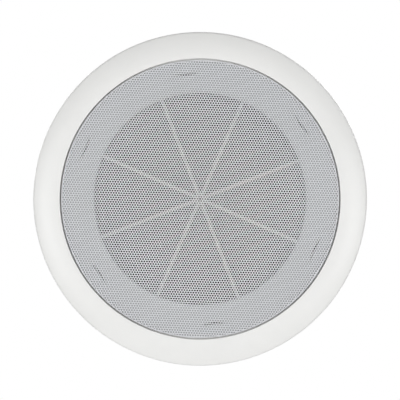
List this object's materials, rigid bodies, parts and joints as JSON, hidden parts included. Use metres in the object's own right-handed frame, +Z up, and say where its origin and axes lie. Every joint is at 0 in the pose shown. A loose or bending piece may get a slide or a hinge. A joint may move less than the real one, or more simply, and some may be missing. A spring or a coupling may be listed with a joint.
{
  "type": "flush-mount loudspeaker",
  "caption": "Round flush-mount loudspeaker: white bezel, flat perforated grille over a spoked opening, paper-cone driver with ferrite magnet, and spring clamps behind.",
  "frame": {"origin": "centre of the flange's back seating plane, where the wall or ceiling surface lies", "axes": "the front faces -Y, +Y points into the wall, +Z is up and +X is to the right seen from the front"},
  "size_m": [0.23, 0.0665, 0.23],
  "materials": {
    "moulding": "satin white moulded plastic",
    "inner_moulding": "light grey moulded plastic",
    "grille_paint": "white powder coat on perforated steel",
    "clamp_steel": "zinc-plated steel",
    "spring_steel": "spring steel wire",
    "gasket_foam": "black foam ring",
    "basket_paint": "black coated pressed steel",
    "surround_rubber": "black rubber",
    "cone_paper": "dark grey coated paper",
    "cap_paper": "dark grey pressed paper",
    "former_film": "amber film",
    "copper_wire": "enamelled copper wire",
    "spider_cloth": "resin-treated cloth",
    "plated_steel": "zinc-plated steel",
    "ferrite": "sintered ferrite",
    "board_phenolic": "brown phenolic board",
    "tinned_brass": "tinned brass",
    "tinsel_braid": "braided tinsel lead"
  },
  "bodies": {
    "frame": {"bezel": "moulding", "mounting_collar": "moulding", "baffle_plate": "inner_moulding", "spoke_guard": "inner_moulding", "driver_hooks": "inner_moulding", "grille": "grille_paint", "grille_rim": "grille_paint", "clamp_pin_1": "clamp_steel", "clamp_spring_1": "spring_steel", "clamp_pin_2": "clamp_steel", "clamp_spring_2": "spring_steel", "clamp_pin_3": "clamp_steel", "clamp_spring_3": "spring_steel", "basket_gasket": "gasket_foam", "basket": "basket_paint", "surround": "surround_rubber", "spider": "spider_cloth", "top_plate": "plated_steel", "magnet": "ferrite", "back_plate": "plated_steel", "basket_rivets": "plated_steel", "terminal_board": "board_phenolic", "terminal_rivet": "plated_steel", "terminal_positive": "tinned_brass", "terminal_negative": "tinned_brass", "tinsel_positive": "tinsel_braid", "tinsel_negative": "tinsel_braid"},
    "moving_cone": {"cone": "cone_paper", "dust_cap": "cap_paper", "voice_coil_former": "former_film", "voice_coil_winding": "copper_wire"},
    "clamp_1": {"clamp_arm_1": "clamp_steel"},
    "clamp_2": {"clamp_arm_2": "clamp_steel"},
    "clamp_3": {"clamp_arm_3": "clamp_steel"}
  },
  "joints": [
    {"name": "cone_travel", "type": "slide", "parent": "frame", "child": "moving_cone", "axis": [0, -1, 0], "range_m": [-0.0025, 0.0025], "stiffness_N_per_m": 1200, "deforming": ["surround", "spider", "tinsel_positive", "tinsel_negative"]},
    {"name": "clamp_swing_1", "type": "hinge", "parent": "frame", "child": "clamp_1", "pos_m": [0.03722, 0.012, 0.08359], "axis": [-0.9135, 0, 0.4067], "range_deg": [0, 80], "stiffness_Nm_per_rad": 0.05, "springref_deg": -34.38, "deforming": ["clamp_spring_1"]},
    {"name": "clamp_swing_2", "type": "hinge", "parent": "frame", "child": "clamp_2", "pos_m": [-0.091, 0.012, -0.00956], "axis": [0.1045, 0, -0.9945], "range_deg": [0, 80], "stiffness_Nm_per_rad": 0.05, "springref_deg": -34.38, "deforming": ["clamp_spring_2"]},
    {"name": "clamp_swing_3", "type": "hinge", "parent": "frame", "child": "clamp_3", "pos_m": [0.05378, 0.012, -0.07402], "axis": [0.809, 0, 0.5878], "range_deg": [0, 80], "stiffness_Nm_per_rad": 0.05, "springref_deg": -34.38, "deforming": ["clamp_spring_3"]}
  ]
}
